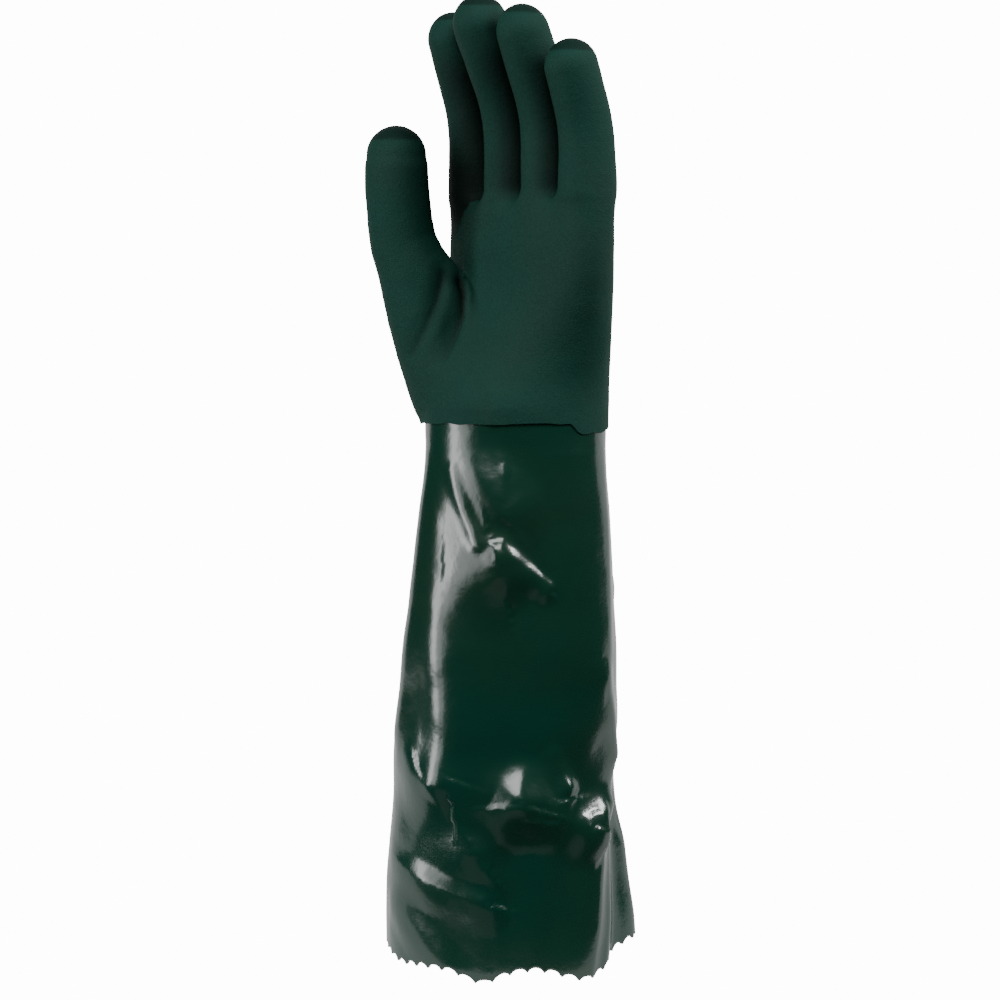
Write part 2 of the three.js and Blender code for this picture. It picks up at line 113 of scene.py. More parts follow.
# Creases of the hand's front, as polylines across and up its middle plane as the camera sees them. Each
# falls away over its left and right reach, and its depth goes from the first to the last point.
CREASES = (
    {
        "points": ((-22.4, 319), (-21.6, 313), (-22.6, 303), (-25.8, 293), (-30.5, 283)),
        "left": 9,
        "right": 2.4,
        "depth": (4, 1.2),
    },
    {
        "points": ((-31.5, 322), (-34.8, 309), (-40, 297), (-47, 285)),
        "left": 8,
        "right": 6,
        "depth": (2.4, 1.2),
    },
    {"points": ((-9.6, 268), (-9.2, 250)), "left": 4, "right": 4, "depth": (-0.5, -0.7)},
    {"points": ((-13, 276), (-15, 271)), "left": 3, "right": 3, "depth": (-0.4, -0.3)},
)

# Power with which a crease falls away, and how far forwards a face has to look to have it.
CREASE_FALL = 1.6
FACING = (0, 0.35)

# Heights of the smooth drips at the tips of the thumb and of the fingers from the thumb's side, and the half
# width of their soft edge.
DRIP_CAPS = (5.4, 3.4, 4, 3.2, 4.6)
CAP_EDGE = 0.5

# How strongly the hand coat takes the shade colour: as painted shade in its creases, between its stalls and
# behind the thumb, and as the darker colour of its drips; and the depths between which a crease gets its
# painted shade.
SHADE_AND_DRIP_MIX = {"crease": 0.95, "gap": 0.9, "cap": 0.6}
CREASE_SHADE = (0.3, 3.2)
# Distances from the next stall between which the painted shade of a gap fades, on both sides and on the lee
# side of each finger but the last. The lee ends below the tip, and all of it starts about the crotches.
GAP_SHADE = (0.6, 9)
LEE_START = 1
LEE_REACH = (28, 21, 17)
LEE_END = 20
CROTCH_FADE = (-6, 6)
# The index's painted shade behind the thumb, by places palmward of the finger's root and above it.
BEHIND_THUMB = {"palmward": (-2, 9), "rise": (-24, -6), "fade": (8, 46)}
# Distance within which a point belongs to a stall's own skin.
OWN_SKIN = 2

# Folds of the sleeve, each a straight ridge or valley between two points of the unrolled wall. A row holds
# both ends in degrees round the sleeve and shares of its length up it, then how far the fold falls away on
# its left or lower side and on its right or upper side, then its lift at its first and second end (above 0
# for a ridge), and last, for both sides, whether it falls from a crease (1) or a soft swell (0).
FOLDS = (
    ((-122, 0.975), (-97.5, 0.855), (27, 25), (1.2, 4.6), (0.7, 0)),
    ((-131, 0.93), (-110, 0.8), (5.5, 5), (0.5, 1), (1, 0)),
    ((-98, 0.757), (-97, 0.745), (32, 20), (6.2, 6.2), (1, 0.2)),
    ((-97, 0.79), (-72.5, 0.72), (9, 4.4), (1.3, 1.6), (0.2, 0)),
    ((-104, 0.995), (-98, 0.93), (4, 4), (0.8, 0.3), (1, 0.2)),
    ((-98, 0.93), (-98.5, 0.89), (4, 4), (0.3, 0.3), (1, 0.2)),
    ((-127, 0.7), (-116, 0.37), (13, 45), (0.3, 2.4), (0.1, 0)),
    ((-20, 0.99), (-36, 0.55), (16, 9), (0.4, 1), (1, 0.5)),
    ((-36, 0.55), (-22, 0.4), (16, 9), (1, 2), (1, 0.5)),
    ((-160, 0.95), (-158, 0.45), (12, 12), (0.6, 1), (0, 0)),
    ((-156, 0.44), (-126, 0.356), (24, 20), (0.6, 2.3), (0.4, 0.3)),
    ((-126, 0.356), (-103, 0.239), (24, 16), (2.3, 2.3), (0.4, 0.6)),
    ((-103, 0.239), (-97, 0.19), (20, 13), (2.4, 1), (0.5, 0.5)),
    ((-97, 0.19), (-100, 0.02), (12, 9), (1.2, 1.4), (0, 0.5)),
    ((-165, 0.225), (-101, 0.15), (16, 7.5), (0, 2.4), (0, 1)),
    ((-95, 0.348), (-86, 0.336), (26, 22), (2, 4.4), (0, 0.5)),
    ((-80, 0.33), (-72, 0.332), (24, 22), (4.6, 4), (0, 0.6)),
    ((-66, 0.41), (-59, 0.355), (6, 6), (0.8, 1.4), (0.5, 0.2)),
    ((-59, 0.355), (-64, 0.31), (6, 6), (1.4, 0.8), (0.5, 0.2)),
    ((-60, 0.29), (-53, 0.285), (20, 19), (3, 4.4), (0, 0.8)),
    ((-38, 0.312), (-32, 0.316), (14, 11), (2.4, 2.6), (0, 1)),
    ((-24, 0.38), (-40, 0.258), (18, 7), (1.6, 2.4), (0, 1)),
    ((-40, 0.258), (-53, 0.01), (18, 7), (2.4, 2.6), (0, 1)),
    ((-18, 0.3), (-30, 0), (10, 14), (-3.4, -5), (0.3, 0.3)),
    ((-6, 0.22), (-8, 0), (12, 20), (1.4, 2), (0.5, 0.5)),
    ((-150, 0.12), (-120, 0.02), (12, 12), (1, 1.4), (0, 0)),
    ((40, 0.95), (70, 0.5), (33, 33), (-3.6, -3.6), (0, 0)),
    ((60, 0.48), (120, 0.36), (27, 20), (3.6, 3.6), (0.6, 1)),
    ((80, 0.3), (130, 0.2), (30, 24), (-3.6, -3.6), (0, 0)),
    ((110, 0.9), (140, 0.6), (24, 24), (2.6, 2.6), (0.5, 0.8)),
    ((140, 0.26), (150, 0), (20, 20), (3, 3), (0.5, 0.8)),
    ((60, 0.8), (95, 0.7), (18, 10), (2, 2.6), (0, 1)),
    ((20, 0.7), (50, 0.58), (14, 10), (1.6, 2), (0, 1)),
)

# Hand from the top of the sleeve's lap (up 0) to the finger crotches (up 1). turned, broad, thick and over
# go from 0 at the wrist to 1 at the knuckles, cup is a share of the palm's hollow.
PALM_SECTIONS = {
    "up": (0, 0.1, 0.22, 0.36, 0.5, 0.65, 0.8, 0.93),
    "turned": (0, 0.14, 0.42, 0.7, 0.88, 0.97, 1, 1),
    "broad": (0, 0, 0.08, 0.3, 0.58, 0.82, 0.95, 1),
    "thick": (0, 0.1, 0.28, 0.46, 0.6, 0.74, 0.88, 1),
    "over": (0, 0.06, 0.2, 0.45, 0.7, 0.88, 0.96, 1),
    "cup": (0, 0.1, 0.3, 0.7, 1, 0.9, 0.5, 0.1),
    "square": (2.1, 2.1, 2.1, 2.1, 2.2, 2.3, 2.4, 2.6),
}
# Shares of the palm's height between which it draws in under the stalls, the fillet of its top edge, and
# the share of its radius that is kept clear round its middle line.
TUCK_BAND = (0.72, 1)
PALM_TOP_FILLET = 8
PALM_CORE = 1e-3

# Fingers from the thumb's side: place counts pitches from the hand's middle towards the thumb, long and
# stout are shares of the finger's length and width, and curl is the tip's bend in degrees.
FINGERS = (
    {"place": 1.5, "long": 0.93, "stout": 0.98, "curl": 20},
    {"place": 0.5, "long": 1, "stout": 1, "curl": 26},
    {"place": -0.5, "long": 0.925, "stout": 0.99, "curl": 23},
    {"place": -1.5, "long": 0.73, "stout": 0.98, "curl": 19},
)
CURL = {"along": (0, 0.25, 0.38, 0.5, 0.62, 1), "bend": (0, 0.12, 0.4, 0.75, 1, 0.95)}
# Balls along a finger, how far the last lies below the tip in half widths, and the first one's size.
FINGER_STEPS = 14
TIP_SINK = 0.95
ROOT_SHARE = 0.6

# Thumb from the heel of the hand to its tip, as shares of its length, reach and width.
THUMB_SECTIONS = {
    "along": (0.03, 0.1, 0.19, 0.28, 0.38, 0.47, 0.55, 0.62, 0.7, 0.8, 0.87),
    "out": (0.4, 0.45, 0.515, 0.59, 0.665, 0.73, 0.782, 0.82, 0.846, 0.866, 0.87),
    "back": (0.04, 0.06, 0.08, 0.1, 0.11, 0.12, 0.12, 0.12, 0.11, 0.1, 0.09),
    "stout": (1.18, 1.25, 1.27, 1.23, 1.16, 1.07, 1, 0.95, 0.93, 0.92, 0.9),
    "web": (0.2, 0.3, 0.45, 0.56, 0.56, 0.38, 0.12, 0, 0, 0, 0),
}
# The thumb's last ball, by its depth below the tip in radii and its share of the last section. The web's
# reach in thumb widths, its share of the thumb's radius, and the value of its column that makes it so thin.
THUMB_TIP = {"sink": 0.9, "stout": 0.93}
WEB = {"reach": 1.1, "stout": 0.72, "full": 0.5}
# Fillets of the thumb with its web, and with the hand at the heel and over the ball of the thumb. Above the
# dip line the heel's gives way to the ball's, and the ball's to the crotch's.
WEB_FILLET = 6
HEEL_FILLET = 2
BALL_FILLET = 11
BALL_START = (8, 34)
CROTCH_START = (40, 66)

BLOCK = 4
NEAR_BLOCKS = 1.3
STALL_ROOM = 5
WRIST_ROOM = 6
# Rounds that even out its vertices, and how far each moves one towards its neighbours.
RELAX_ROUNDS = 3
RELAX_SHARE = 0.6

# A distance longer than any on the glove.
FAR = 1e3
# Large odd numbers that mix a cell's place and the seed of its noise.
PLACE_MIX = (73856093, 19349663, 83492791)
SEED_MIX = 2654435761
LAST_MIX = 1274126177

# Paper sweep in millimetres: its edges, and the radius of its bend from floor to wall.
PAPER = {"floor": -2.0, "near": -70, "left": -1300, "right": 3600, "back": 1100, "top": 1800, "bend": 500}
BEND_STEPS = 16

# Soft boxes: azimuth is degrees to the right of the camera's side, away and up are metres from the middle of
# the cuff, size is width and height in metres, and power is in watts.
LIGHTS = {
    "key_wide": {"azimuth": -58, "away": 1.6, "up": 0.62, "size": (0.95, 1.3), "power": 12},
    "key_core": {"azimuth": -64, "away": 1.55, "up": 0.62, "size": (0.34, 1.3), "power": 9},
    "soft_top": {"azimuth": -10, "away": 1.2, "up": 1.4, "size": (1.0, 0.7), "power": 20},
    "right_high": {"azimuth": 72, "away": 1.2, "up": 1.15, "size": (0.5, 0.5), "power": 22},
    "low_card": {"azimuth": -15, "away": 0.95, "up": -0.5, "size": (1.2, 0.5), "power": 0.35},
}
# Where the soft boxes are aimed in metres, the world's grey and the camera's sensor in millimetres.
LIGHT_AIM = (0, 0, 0.22)
WORLD_GREY = 0.012
SENSOR_WIDTH = 36


def scene_sizes():
    """The glove's sizes, as the panel holds them."""
    return bpy.context.scene.glove_sizes


def scene_finish():
    """The glove's colours and finish, as the panel holds them."""
    return bpy.context.scene.glove_finish


def scene_studio():
    """The studio's values, as the panel holds them."""
    return bpy.context.scene.glove_studio


def read(table, key, column, at):
    """A table's column between its rows, on a Catmull-Rom curve."""
    at = np.asarray(at, float)
    keys = np.asarray(table[key], float)
    values = np.asarray(table[column], float)
    i = np.clip(np.searchsorted(keys, at, side="right") - 1, 0, len(keys) - 2)
    t = np.clip((at - keys[i]) / (keys[i + 1] - keys[i]), 0, 1)
    p0, p1 = values[np.maximum(i - 1, 0)], values[i]
    p2, p3 = values[i + 1], values[np.minimum(i + 2, len(keys) - 1)]
    m1, m2 = (p2 - p0) / 2, (p3 - p1) / 2
    t2, t3 = t * t, t * t * t
    return p1 * (2 * t3 - 3 * t2 + 1) + m1 * (t3 - 2 * t2 + t) + p2 * (3 * t2 - 2 * t3) + m2 * (t3 - t2)


def smoothstep(x, low, high):
    """A smooth step from 0 to 1."""
    t = np.clip((x - low) / (high - low), 0, 1)
    return t * t * (3 - 2 * t)


def lerp(a, b, t):
    """A straight mix of two values."""
    return a + (b - a) * t


def smooth_min(a, b, blend):
    """The nearer of two fields, with a fillet about blend wide where they meet."""
    h = np.clip(0.5 + 0.5 * (b - a) / blend, 0, 1)
    return lerp(b, a, h) - blend * h * (1 - h)


def lattice(points, seed):
    """Smooth value noise from -1 to 1 at points, one unit a cell."""
    cell = np.floor(points).astype(np.int64)
    t = points - cell
    t = t * t * (3 - 2 * t)
    total = np.zeros(len(points))
    for corner in range(8):
        step = np.array([corner & 1, corner >> 1 & 1, corner >> 2 & 1])
        x, y, z = ((cell + step) * PLACE_MIX).T
        mixed = x ^ y ^ z ^ (seed * SEED_MIX)
        mixed = (mixed ^ (mixed >> 13)) * LAST_MIX
        value = ((mixed >> 8) & 0xFFFF) / 0x7FFF - 1
        weight = np.prod(np.where(step == 1, t, 1 - t), axis=1)
        total += weight * value
    return total


def uneven(points, layers):
    """Layers of noise at points, in millimetres."""
    return sum(layer["height"] * lattice(points / layer["size"], layer["seed"]) for layer in layers)


def super_ellipse(angle, square):
    """A unit super-ellipse's point at an angle in degrees."""
    a = np.radians(angle)
    c, s = np.cos(a), np.sin(a)
    reach = (np.abs(c) ** square + np.abs(s) ** square) ** (-1 / square)
    return reach * c, reach * s


def turn_between(a, b):
    """Degrees from a to b the short way."""
    return (np.asarray(b) - a + 180) % 360 - 180


def fold_lift(angle, up):
    """How far the folds push the sleeve's wall out, in millimetres."""
    s = scene_sizes()
    degree_mm = math.pi * (s.wrist_width + s.cuff_width) / 4 / 180
    lift = np.zeros(np.broadcast(angle, up).shape)
    for (a0, u0), (a1, u1), reaches, lifts, creases in FOLDS:
        across = turn_between(a0, a1) * degree_mm
        rise = (u1 - u0) * s.sleeve_length
        x = turn_between(a0, angle) * degree_mm
        y = (up - u0) * s.sleeve_length
        along = np.clip((x * across + y * rise) / (across**2 + rise**2), 0, 1)
        off_x, off_y = x - along * across, y - along * rise
        before = off_x * rise - off_y * across > 0
        reach = np.where(before, *reaches)
        crisp = np.where(before, *creases)
        far = np.hypot(np.hypot(off_x, off_y), s.crest_round) - s.crest_round
        slope = np.maximum(0, 1 - far / reach)
        lift += lerp(*lifts, along) * slope**2 * lerp(3 - 2 * slope, 1, crisp)
    return lift


def sleeve_surface(angle, z, more):
    """Points of the sleeve's outside at degrees round it and a height, moved out by more."""
    s = scene_sizes()
    up = z / s.sleeve_length
    flare = read(SLEEVE_SECTIONS, "up", "flare", up)
    lean = read(SLEEVE_SECTIONS, "up", "lean", up) * s.cuff_width
    across, through = super_ellipse(angle, read(SLEEVE_SECTIONS, "up", "square", up))
    half_width = lerp(s.wrist_width, s.cuff_width, flare) / 2
    half_depth = lerp(s.wrist_depth, s.cuff_depth, flare) / 2
    spots = np.stack([half_width * across, half_depth * through, z], axis=-1)
    roll = uneven(spots.reshape(-1, 3), SLEEVE_ROLL).reshape(up.shape)
    out = more + (fold_lift(angle, up) + roll) * smoothstep(1 - up, 0, SETTLE)
    return np.stack([lean + (half_width + out) * across, (half_depth + out) * through, z], axis=-1)


def mesh_object(name, vertices, faces, material):
    """A smooth mesh object at the origin from vertices in millimetres."""
    mesh = bpy.data.meshes.new(name)
    mesh.from_pydata((np.asarray(vertices) * MM).tolist(), [], np.asarray(faces).tolist())
    mesh.update()
    mesh.shade_smooth()
    mesh.materials.append(material)
    piece = bpy.data.objects.new(name, mesh)
    bpy.context.scene.collection.objects.link(piece)
    return piece


def bite_height(angle):
    """How far the pinking lifts the cuff's edge at degrees round it."""
    s = scene_sizes()
    pitch = math.pi * (s.cuff_width + s.cuff_depth) / 2 / s.teeth
    radius = ((pitch / 2) ** 2 + s.tooth_depth**2) / (2 * s.tooth_depth)
    x = ((angle * s.teeth / 360 + 0.5) % 1 - 0.5) * pitch
    return s.tooth_depth - radius + np.sqrt(np.maximum(radius**2 - x**2, 0))


def make_sleeve():
    """The glossy sleeve: an outer and an inner wall joined at the cuff and at the lap."""
    s = scene_sizes()
    columns = s.teeth * s.columns_per_tooth
    angle = -180 + np.arange(columns) * 360 / columns
    bottom = read(CUFF_CUT, "at", "rise", angle) * s.cuff_rise + bite_height(angle)
    top = s.sleeve_length + s.lap
    share = np.linspace(0, 1, s.sleeve_rows)[:, None]
    outer = sleeve_surface(angle[None, :], lerp(bottom[None, :], top, share), 0)
    share = np.linspace(1, 0, s.lining_rows)[:, None]
    inner = sleeve_surface(angle[None, :], lerp(bottom[None, :], top, share), -s.sleeve_wall)
    rings = np.concatenate([outer, inner])
    count = len(rings)
    index = np.arange(count * columns).reshape(count, columns)
    nxt = np.roll(index, -1, axis=1)
    above = np.roll(index, -1, axis=0)
    faces = np.stack([index, nxt, np.roll(above, -1, axis=1), above], axis=-1)
    return mesh_object("sleeve_skin", rings.reshape(-1, 3), faces.reshape(-1, 4), glossy_vinyl())


def coat_edge(angle):
    """Height of the hand coat's lower edge at degrees round the sleeve."""
    s = scene_sizes()
    return s.sleeve_length - read(COAT_EDGE, "at", "drop", angle) * s.coat_drop


def hand_axes():
    """Unit vectors from the palm's middle towards the thumb's side and out of the palm."""
    turn = scene_sizes().hand_turn
    thumbward = np.array([-math.cos(turn), math.sin(turn), 0])
    palmward = np.array([-math.sin(turn), -math.cos(turn), 0])
    return thumbward, palmward


def wrist_lean():
    """The hand's middle at the wrist."""
    return SLEEVE_SECTIONS["lean"][-1] * scene_sizes().cuff_width


def palm_field(p):
    """Distance from the palm's surface, below 0 inside."""
    s = scene_sizes()
    foot = s.sleeve_length + s.lap_top
    up = (p[:, 2] - foot) / (s.palm_length - s.lap_top)
    row = {name: read(PALM_SECTIONS, "up", name, up) for name in PALM_SECTIONS if name != "up"}
    lip = s.coat_step + s.clearance
    breadth = 4 * s.finger_width + 3 * s.finger_gap
    tuck = s.knuckle_tuck * smoothstep(up, *TUCK_BAND)
    half_broad = lerp(s.wrist_width / 2 + lip, breadth / 2, row["broad"]) - tuck
    half_thick = lerp(s.wrist_depth / 2 + lip, s.palm_thickness / 2, row["thick"]) - tuck
    turned = s.hand_turn * row["turned"]
    x = p[:, 0] - wrist_lean() - s.hand_shift * row["over"]
    y = p[:, 1]
    broad = x * np.cos(turned) - y * np.sin(turned)
    thick = x * np.sin(turned) + y * np.cos(turned)
    thick = thick - s.palm_cup * row["cup"] * (1 - np.minimum((broad / half_broad) ** 2, 1))
    square = row["square"]
    rho = (np.abs(broad / half_broad) ** square + np.abs(thick / half_thick) ** square) ** (1 / square)
    rho = np.maximum(rho, PALM_CORE)
    side = (rho - 1) * np.hypot(broad, thick) / rho
    roof = p[:, 2] - (s.sleeve_length + s.palm_length - s.crotch_drop)
    return -smooth_min(-side, -roof, PALM_TOP_FILLET)


def chain_field(p, centres, radii, squash, across):
    """Distance from a tube through centres, thinned by squash out of the line of across."""
    best = np.full(len(p), FAR)
    for a, b, ra, rb in zip(centres[:-1], centres[1:], radii[:-1], radii[1:]):
        d = b - a
        t = np.clip(((p - a) @ d) / (d @ d), 0, 1)
        off = p - a - t[:, None] * d
        side = off @ across
        rest = np.sqrt(np.maximum((off * off).sum(axis=1) - side * side, 0))
        best = np.minimum(best, np.hypot(side, rest * squash) - lerp(ra, rb, t))
    return best


def finger_chain(finger):
    """The middle line of a finger and its half widths along it."""
    s = scene_sizes()
    thumbward, palmward = hand_axes()
    length = s.finger_length * finger["long"]
    half = s.finger_width * finger["stout"] / 2
    base = np.array([wrist_lean() + s.hand_shift, 0, s.sleeve_length + s.palm_length])
    base = base + thumbward * finger["place"] * (s.finger_width + s.finger_gap)
    last = length - half * TIP_SINK
    along = np.linspace(0, last, FINGER_STEPS + 1)
    mid = (along[1:] + along[:-1]) / 2
    bend = np.radians(finger["curl"] * read(CURL, "along", "bend", mid / length))
    step = last / FINGER_STEPS
    moves = np.outer(np.cos(bend), [0, 0, 1]) * step + np.outer(np.sin(bend), palmward) * step
    centres = np.vstack([base - [0, 0, s.finger_root], base, base + np.cumsum(moves, axis=0)])
    radii = half * (1 - s.tip_taper * np.concatenate([[0, 0], along[1:] / length]))
    radii[0] = half * ROOT_SHARE
    return centres, radii


def thumb_chains():
    """The thumb's middle line, its web's, and the half widths of both."""
    s = scene_sizes()
    column = {k: np.asarray(v, float) for k, v in THUMB_SECTIONS.items()}
    centres = np.stack([-column["out"], column["back"], np.zeros(len(column["out"]))], axis=1) * s.thumb_reach
    centres[:, 2] = s.sleeve_length + column["along"] * s.thumb_length
    radii = column["stout"] * s.thumb_width / 2
    tip = s.sleeve_length + s.thumb_length - radii[-1] * THUMB_TIP["sink"]
    centres = np.vstack([centres, centres[-1] * [1, 1, 0] + [0, 0, tip]])
    radii = np.append(radii, radii[-1] * THUMB_TIP["stout"])
    inward = np.array([wrist_lean() + s.hand_shift, 0, 0]) - centres * [1, 1, 0]
    inward /= np.linalg.norm(inward, axis=1, keepdims=True)
    web = np.append(column["web"], 0)
    web_centres = centres + inward * (web * s.thumb_width * WEB["reach"])[:, None]
    web_radii = radii * lerp(1, WEB["stout"], np.minimum(web / WEB["full"], 1))
    return centres, radii, web_centres, web_radii


def hand_field(p):
    """Distance from the hand coat's outside, below 0 inside."""
    s = scene_sizes()
    thumbward, _ = hand_axes()
    squash = s.finger_width / s.finger_thickness
    stalls = None
    for finger in FINGERS:
        centres, radii = finger_chain(finger)
        field = chain_field(p, centres, radii, squash, thumbward)
        stalls = field if stalls is None else smooth_min(stalls, field, s.crotch_fillet)
    hand = smooth_min(palm_field(p), stalls, s.knuckle_fillet)
    centres, radii, web_centres, web_radii = thumb_chains()
    thumb = chain_field(p, centres, radii, 1, thumbward)
    web = chain_field(p, web_centres, web_radii, 1, thumbward)
    thumb = smooth_min(thumb, web, WEB_FILLET)
    height = p[:, 2] - s.sleeve_length
    fillet = lerp(HEEL_FILLET, BALL_FILLET, smoothstep(height, *BALL_START))
    fillet = fillet - (BALL_FILLET - s.thumb_fillet) * smoothstep(height, *CROTCH_START)
    return smooth_min(hand, thumb, fillet)


def surface_net(field, low, cell):
    """A quad mesh over the zero level of a field on a grid, facing out of its negative side."""
    inside = field < 0
    shape = np.array(field.shape) - 1
    total = np.zeros(tuple(shape) + (3,))
    hits = np.zeros(tuple(shape))
    for axis in range(3):
        others = [a for a in range(3) if a != axis]
        ahead = [slice(None)] * 3
        behind = [slice(None)] * 3
        ahead[axis], behind[axis] = slice(1, None), slice(None, -1)
        f0, f1 = field[tuple(behind)], field[tuple(ahead)]
        cross = inside[tuple(behind)] != inside[tuple(ahead)]
        t = np.where(cross, f0 / np.where(cross, f0 - f1, 1), 0)
        for i in (0, 1):
            for j in (0, 1):
                part = [slice(None)] * 3
                part[others[0]] = slice(i, i + shape[others[0]])
                part[others[1]] = slice(j, j + shape[others[1]])
                crossed = cross[tuple(part)]
                hits += crossed
                total[..., axis] += np.where(crossed, t[tuple(part)], 0)
                total[..., others[0]] += np.where(crossed, i, 0)
                total[..., others[1]] += np.where(crossed, j, 0)
    active = hits > 0
    number = np.full(tuple(shape), -1)
    number[active] = np.arange(active.sum())
    vertices = low + (np.argwhere(active) + total[active] / hits[active][:, None]) * cell
    faces = []
    for axis in range(3):
        others = [a for a in range(3) if a != axis]
        core = [slice(1, -1)] * 3
        core[axis] = slice(None, -1)
        ahead = list(core)
        ahead[axis] = slice(1, None)
        here, there = inside[tuple(core)], inside[tuple(ahead)]
        spots = np.argwhere(here != there)
        spots[:, others[0]] += 1
        spots[:, others[1]] += 1
        out = here[here != there]
        corners = []
        for i, j in ((0, 0), (1, 0), (1, 1), (0, 1)):
            corner = spots.copy()
            corner[:, others[0]] -= i
            corner[:, others[1]] -= j
            corners.append(number[tuple(corner.T)])
        quads = np.stack(corners, axis=1)
        kept = out if axis != 1 else ~out
        quads[~kept] = quads[~kept][:, ::-1]
        faces.append(quads)
    return vertices, np.concatenate(faces)


def field_slope(function, p, step=0.25):
    """The gradient of a field at points."""
    slope = np.empty_like(p)
    for axis in range(3):
        offset = np.zeros(3)
        offset[axis] = step
        slope[:, axis] = (function(p + offset) - function(p - offset)) / (2 * step)
    return slope


def sampled_field(low, counts, cell, basis):
    """The hand's field on a turned grid, worked out finely near its surface alone."""
    rough = [np.arange(int(n) // BLOCK) * BLOCK for n in counts]
    middles = [low[a] + (rough[a] + (BLOCK - 1) / 2) * cell for a in range(3)]
    points = np.stack(np.meshgrid(*middles, indexing="ij"), axis=-1)
    shape = points.shape[:3]
    coarse = hand_field(points.reshape(-1, 3) @ basis).reshape(shape)
    field = coarse.repeat(BLOCK, 0).repeat(BLOCK, 1).repeat(BLOCK, 2)
    near = np.abs(field) < BLOCK * cell * NEAR_BLOCKS
    spots = np.argwhere(near)
    field[near] = hand_field((low + spots * cell) @ basis)
    return field


def hand_grid(cell, basis):
    """The low corner of a turned grid round the hand, and its counts."""
    s = scene_sizes()
    chains = [finger_chain(finger) for finger in FINGERS] + [thumb_chains()[:2]]
    points = np.vstack([centres for centres, _ in chains]) @ basis.T
    room = s.thumb_width / 2 + STALL_ROOM
    low = points.min(axis=0) - room
    high = points.max(axis=0) + room
    low[:2] = np.minimum(low[:2], -s.wrist_width / 2 - WRIST_ROOM)
    high[:2] = np.maximum(high[:2], s.wrist_width / 2 + WRIST_ROOM)
    low[2] = s.sleeve_length - 2 * s.coat_drop - BLOCK * cell
    counts = (np.ceil((high - low) / cell / BLOCK).astype(int) + 1) * BLOCK
    return low, counts


def evened(vertices, faces):
    """The hand's vertices spread evenly over its surface."""
    links = np.concatenate([faces[:, [0, 1]], faces[:, [1, 2]], faces[:, [2, 3]], faces[:, [3, 0]]])
    links = np.concatenate([links, links[:, ::-1]])
    degree = np.bincount(links[:, 0], minlength=len(vertices))[:, None]
    for _ in range(RELAX_ROUNDS):
        middle = np.zeros_like(vertices)
        np.add.at(middle, links[:, 0], vertices[links[:, 1]])
        vertices = lerp(vertices, middle / degree, RELAX_SHARE)
        slope = field_slope(hand_field, vertices)
        vertices = vertices - slope * (hand_field(vertices) / (slope**2).sum(axis=1))[:, None]
    return vertices


def hand_mesh():
    """Vertices, quads and painted shade (with the darker drips) of the hand coat's outside, down to below its
    lower edge.
    """
    cell = scene_sizes().skin_cell * 1
    basis = np.vstack([*hand_axes(), [0, 0, 1]])
    low, counts = hand_grid(cell, basis)
    vertices, faces = surface_net(sampled_field(low, counts, cell, basis), low, cell)
    vertices = evened(vertices @ basis, faces)
    slope = field_slope(hand_field, vertices)
    normals = slope / np.linalg.norm(slope, axis=1, keepdims=True)
    lift, sink = surface_lift(vertices, normals)
    # Painted shade in the creases, between the stalls and behind the thumb, and the coat's darker drips at
    # the tips.
    shade = SHADE_AND_DRIP_MIX["crease"] * smoothstep(sink, *CREASE_SHADE)
    shade = np.maximum(shade, SHADE_AND_DRIP_MIX["gap"] * painted_gap_shade(vertices))
    shade = np.maximum(shade, SHADE_AND_DRIP_MIX["cap"] * tip_caps(vertices))
    return vertices + normals * lift[:, None], faces, shade


def crease_depth(seen):
    """How deep the creases are at places across and up the hand's middle plane."""
    total = np.zeros(len(seen))
    for crease in CREASES:
        points = np.array(crease["points"])
        best = np.full(len(seen), FAR)
        depth = np.zeros(len(seen))
        count = len(points) - 1
        for i in range(count):
            d = points[i + 1] - points[i]
            off = seen - points[i]
            along = np.clip((off @ d) / (d @ d), 0, 1)
            away = off - along[:, None] * d
            side = np.sign(away @ np.array([-d[1], d[0]])) * np.sign(-d[1])
            reach = np.where(side > 0, crease["right"], crease["left"])
            far = np.linalg.norm(away, axis=1) / reach
            closer = far < best
            best = np.where(closer, far, best)
            depth = np.where(closer, lerp(*crease["depth"], (i + along) / count), depth)
        total += depth * np.maximum(0, 1 - best) ** CREASE_FALL
    return total


def surface_lift(p, normals):
    """How far the hand's surface is pushed out, and how far its creases alone sink it."""
    studio = scene_studio()
    eye = np.array([studio.aim_side, -studio.camera_distance, studio.camera_height])
    t = -eye[1] / (p[:, 1] - eye[1])
    seen = eye + (p - eye) * t[:, None]
    sink = crease_depth(seen[:, [0, 2]]) * smoothstep(-normals[:, 1], *FACING)
    above = p[:, 2] - scene_sizes().sleeve_length
    return uneven(p, HAND_ROLL) * smoothstep(above, 0, ROLL_START) - sink, sink


def tip_caps(p):
    """Where the drips at the tips lie, from 0 to 1."""
    thumbward, _ = hand_axes()
    chains = [thumb_chains()[:2]] + [finger_chain(finger) for finger in FINGERS]
    nearest = np.argmin([chain_field(p, *chain, 1, thumbward) for chain in chains], axis=0)
    inside = np.zeros(len(p))
    for number, ((centres, radii), drop) in enumerate(zip(chains, DRIP_CAPS)):
        edge = centres[-1][2] + radii[-1] - drop
        inside = np.where(nearest == number, smoothstep(p[:, 2], edge - CAP_EDGE, edge + CAP_EDGE), inside)
    return inside


